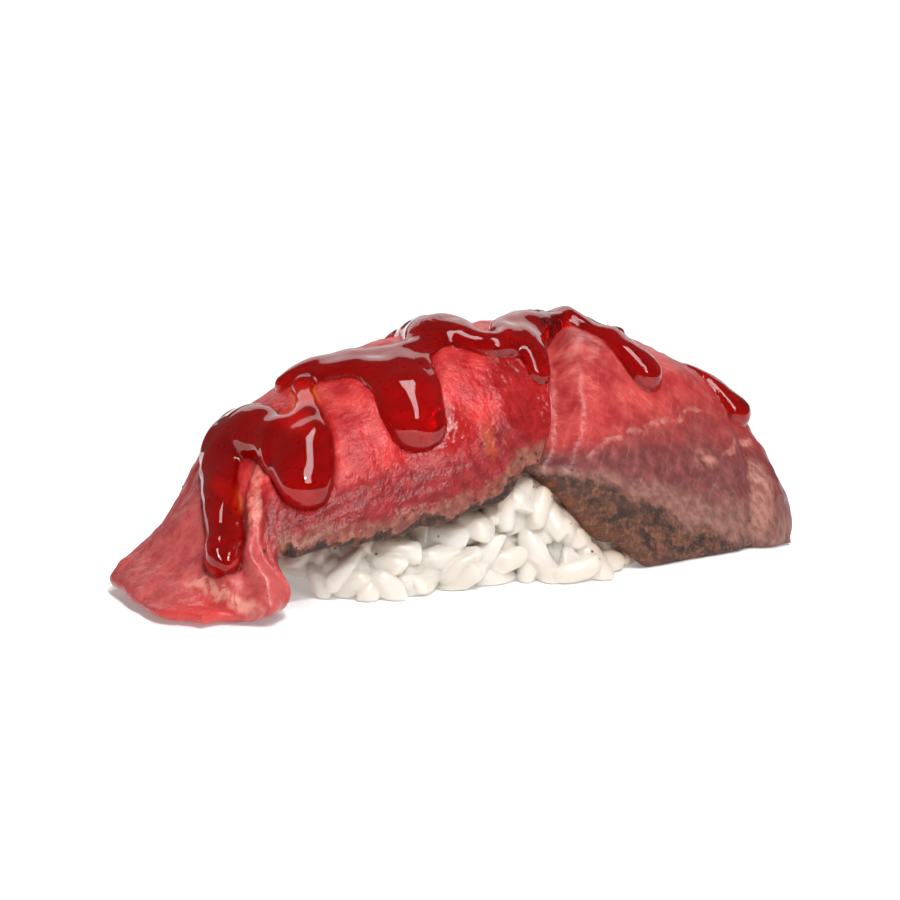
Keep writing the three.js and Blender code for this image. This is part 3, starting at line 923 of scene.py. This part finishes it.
# ------------------------------------------------------------
# Glaze.
# Thick sweet soy sauce, clear and deep red, poured in a string to and fro over the ridge. It has
# run down the front in fat drips, stands about 2 mm proud, and is thin and orange at its necks.
# ------------------------------------------------------------
SHEET_MIDDLE, SHEET_HALF = (4.0, -0.08), (39.5, 0.72)  # station and across of what the glaze is cut from
bpy.ops.object.select_all(action="DESELECT")
bpy.ops.mesh.primitive_grid_add(x_subdivisions=470, y_subdivisions=270, size=2)
glaze = bpy.context.active_object
name_piece(glaze, "glaze")
flat = vertex_points(glaze)
glaze_x = SHEET_MIDDLE[0] + SHEET_HALF[0] * flat[:, 0]
glaze_across = SHEET_MIDDLE[1] + SHEET_HALF[1] * flat[:, 1]
meat, out_way = meat_top(glaze_x, glaze_across)
under_rim = meat_top(glaze_x, glaze_across, 0.9)[0]  # the glaze fills the hollow below the near slice's rim
past_edge = glaze_x - lap_edge(glaze_across)
slope = smooth(7, -0.5, past_edge) - smooth(0.7, -0.7, past_edge)
bridge = smooth(-0.3, -0.12, glaze_across) * slope
base = meat + out_way * ((LAP - END_THINNING) * bridge)[:, None]
grid_index = glaze.data.attributes.new("grid_index", "INT", "POINT")
grid_index.data.foreach_set("value", np.arange(len(flat), dtype=np.int32))
inward, height, width = glaze_field(base)
inward = inward + 0.15 * ripple(glaze_x, glaze_across * SIDE_LENGTH, 5, 61)
dome = height * np.sqrt(1 - (1 - np.clip(inward / width, 0, 1)) ** 2)
thin = smooth(1.0, 0.5, height)
dome = dome + 0.07 * thin * ripple(glaze_x, glaze_across * 30, 1.6, 62) * np.clip(inward, 0, 1)
stand = np.where(inward > 0, dome, inward)
lowered = under_rim - out_way * GLAZE_ROOT
covered = stand > GLAZE_THINNEST - GLAZE_ROOT
surface = np.where(covered[:, None], base + out_way * stand[:, None], lowered)
place_vertices(glaze, surface)
for polygon in glaze.data.polygons:
    polygon.select = not any(covered[v] for v in polygon.vertices)
only(glaze)
bpy.context.tool_settings.mesh_select_mode = (False, False, True)
bpy.ops.object.mode_set(mode="EDIT")
bpy.ops.mesh.delete(type="FACE")
bpy.ops.object.mode_set(mode="OBJECT")
bpy.ops.object.duplicate()
glaze_floor = bpy.context.active_object
order = np.zeros(len(glaze_floor.data.vertices), int)
glaze_floor.data.attributes["grid_index"].data.foreach_get("value", order)
place_vertices(glaze_floor, lowered[order])
bpy.ops.object.mode_set(mode="EDIT")
bpy.ops.mesh.select_all(action="SELECT")
bpy.ops.mesh.flip_normals()
bpy.ops.object.mode_set(mode="OBJECT")
only(glaze, glaze_floor)
bpy.ops.object.join()
bpy.ops.object.mode_set(mode="EDIT")
bpy.ops.mesh.select_all(action="SELECT")
bpy.ops.mesh.remove_doubles(threshold=0.000001)
bpy.ops.mesh.normals_make_consistent(inside=False)
bpy.ops.object.mode_set(mode="OBJECT")
bpy.ops.object.shade_smooth()

glaze_look = Look(
    "clear_red_glaze", Base_Color=(1, 1, 1, 1), Roughness=0.03, IOR=1.42, Transmission_Weight=1.0,
    Coat_Weight=0.15, Coat_Roughness=0.03, Coat_IOR=1.6,
)
absorb = glaze_look.tree.nodes.new("ShaderNodeVolumeAbsorption")
absorb.inputs["Color"].default_value = (0.982, 0.38, 0.0, 1)
absorb.inputs["Density"].default_value = 2500
output = next(n for n in glaze_look.tree.nodes if n.type == "OUTPUT_MATERIAL")
glaze_look.tree.links.new(absorb.outputs[0], output.inputs["Volume"])
glaze.data.materials.append(glaze_look.material)
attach(glaze, "root")

# ------------------------------------------------------------
# Pepper and char crumbs.
# Coarse black pepper and bits of the crust, a few tenths of a millimetre across, which stick to
# the moist beef, most of them close to its seared edges.
# ------------------------------------------------------------
CRUMBS = 70  # on each slice
pepper_look = Look("pepper_and_char", Roughness=0.6)
speck_tone = pepper_look.number("tone")
pepper_look.feed("Base Color", pepper_look.mix(speck_tone, tone(34, 24, 20), tone(104, 58, 36)))
bpy.ops.object.select_all(action="DESELECT")
bpy.ops.mesh.primitive_ico_sphere_add(subdivisions=1, radius=1)
crumb = bpy.context.active_object
crumb_shape = vertex_points(crumb)
dice = np.random.RandomState(9)
crumbs = []
for beef in (near_slice, far_slice):
    skin = vertex_points(beef) / MM + MIDDLE
    facing = np.empty(len(skin) * 3)
    beef.data.vertex_normals.foreach_get("vector", facing)
    facing = facing.reshape(-1, 3)
    from_edge, down = np.empty(len(skin)), np.empty(len(skin))
    beef.data.attributes["edge"].data.foreach_get("value", from_edge)
    beef.data.attributes["across"].data.foreach_get("value", down)
    outer = (facing[:, 1] * np.sign(down) > -0.2) & (np.abs(down) > 0.12)
    outer = outer & (np.abs(skin[:, 0] - 6) < 36)
    chance = np.where(outer, bell(from_edge, 5.0) + 0.02, 0)
    for spot in dice.choice(len(skin), CRUMBS, replace=False, p=chance / chance.sum()):
        size = dice.uniform(0.08, 0.2) * (1.4 if dice.uniform(0, 1) > 0.9 else 1)
        shape = crumb_shape * dice.uniform(0.6, 1.2, 3) * size + dice.uniform(-0.04, 0.04, crumb_shape.shape)
        piece = crumb.copy()
        piece.data = crumb.data.copy()
        bpy.context.collection.objects.link(piece)
        points = skin[spot] + facing[spot] * size * 0.3 + shape
        points[:, 2] = np.maximum(points[:, 2], 0.02)
        place_vertices(piece, points)
        mark(piece, "tone", np.full(len(shape), dice.uniform(0, 1)))
        crumbs.append(piece)
bpy.data.objects.remove(crumb)
only(*crumbs)
bpy.ops.object.join()
pepper = bpy.context.active_object
name_piece(pepper, "pepper")
pepper.data.materials.append(pepper_look.material)
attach(pepper, "root")

# ------------------------------------------------------------
# Stage, lights and camera.
# A plain white table that glows a little, a long soft light overhead, a broad one behind at the
# right, a small lamp in front, and a long lens a little above the table.
# ------------------------------------------------------------
TABLE_SIZE, TABLE_GAP = 3, 0.0001
underside = cad_box[0][2]
bpy.ops.object.select_all(action="DESELECT")
bpy.ops.mesh.primitive_plane_add(size=TABLE_SIZE, location=(0, 0, underside - TABLE_GAP))
table = bpy.context.active_object
name_piece(table, "table")
table_look = Look("white_table", Base_Color=(0.93, 0.93, 0.93, 1), Roughness=0.8, Emission_Strength=1.0)
from_part = table_look.node("ShaderNodeVectorMath", {"operation": "LENGTH"}, {0: table_look.place()}, 1)
glow = table_look.mix(from_part.step(60, 500), [0.22, 0.22, 0.22, 1], [0.9, 0.9, 0.9, 1])
table_look.feed("Emission Color", glow)
table.data.materials.append(table_look.material)

world = bpy.data.worlds.new("studio")
bpy.context.scene.world = world
world.use_nodes = True
world.node_tree.nodes["Background"].inputs["Color"].default_value = (1, 1, 1, 1)
world.node_tree.nodes["Background"].inputs["Strength"].default_value = 0.1


def softbox(name, azimuth, elevation, distance, width, height, power):
    """A rectangular light that looks at the middle of the part; azimuth 0 is straight in front."""
    bpy.ops.object.light_add(type="AREA")
    light = bpy.context.active_object
    light.name = name
    light.data.shape = "RECTANGLE"
    light.data.size, light.data.size_y = width, height
    light.data.energy = power
    a, e = math.radians(azimuth), math.radians(elevation)
    light.location = (
        distance * math.sin(a) * math.cos(e), -distance * math.cos(a) * math.cos(e), distance * math.sin(e)
    )
    light.rotation_euler = (math.pi / 2 - e, 0, a)


softbox("overhead", -4, 62, 0.65, 0.2, 0.95, 4.5)
softbox("backdrop", 154, 25, 0.9, 0.9, 0.5, 1.6)
softbox("lamp", -14, 50, 0.6, 0.05, 0.05, 1.5)

AIM = (0.00237, 0.00111, 0.01292)
EYE = (-0.14897, -0.29831, 0.0890)
camera_data = bpy.data.cameras.new("camera")
camera_data.lens = 110
camera_data.sensor_width = 36
camera_data.clip_start = 0.01
camera = bpy.data.objects.new("camera", camera_data)
bpy.context.collection.objects.link(camera)
camera.location = EYE
toward = [a - b for a, b in zip(AIM, EYE)]
flat_run = math.hypot(toward[0], toward[1])
camera.rotation_euler = (math.pi / 2 + math.atan2(toward[2], flat_run), 0, -math.atan2(toward[0], toward[1]))
bpy.context.scene.camera = camera
bpy.context.scene.view_settings.view_transform = "Standard"
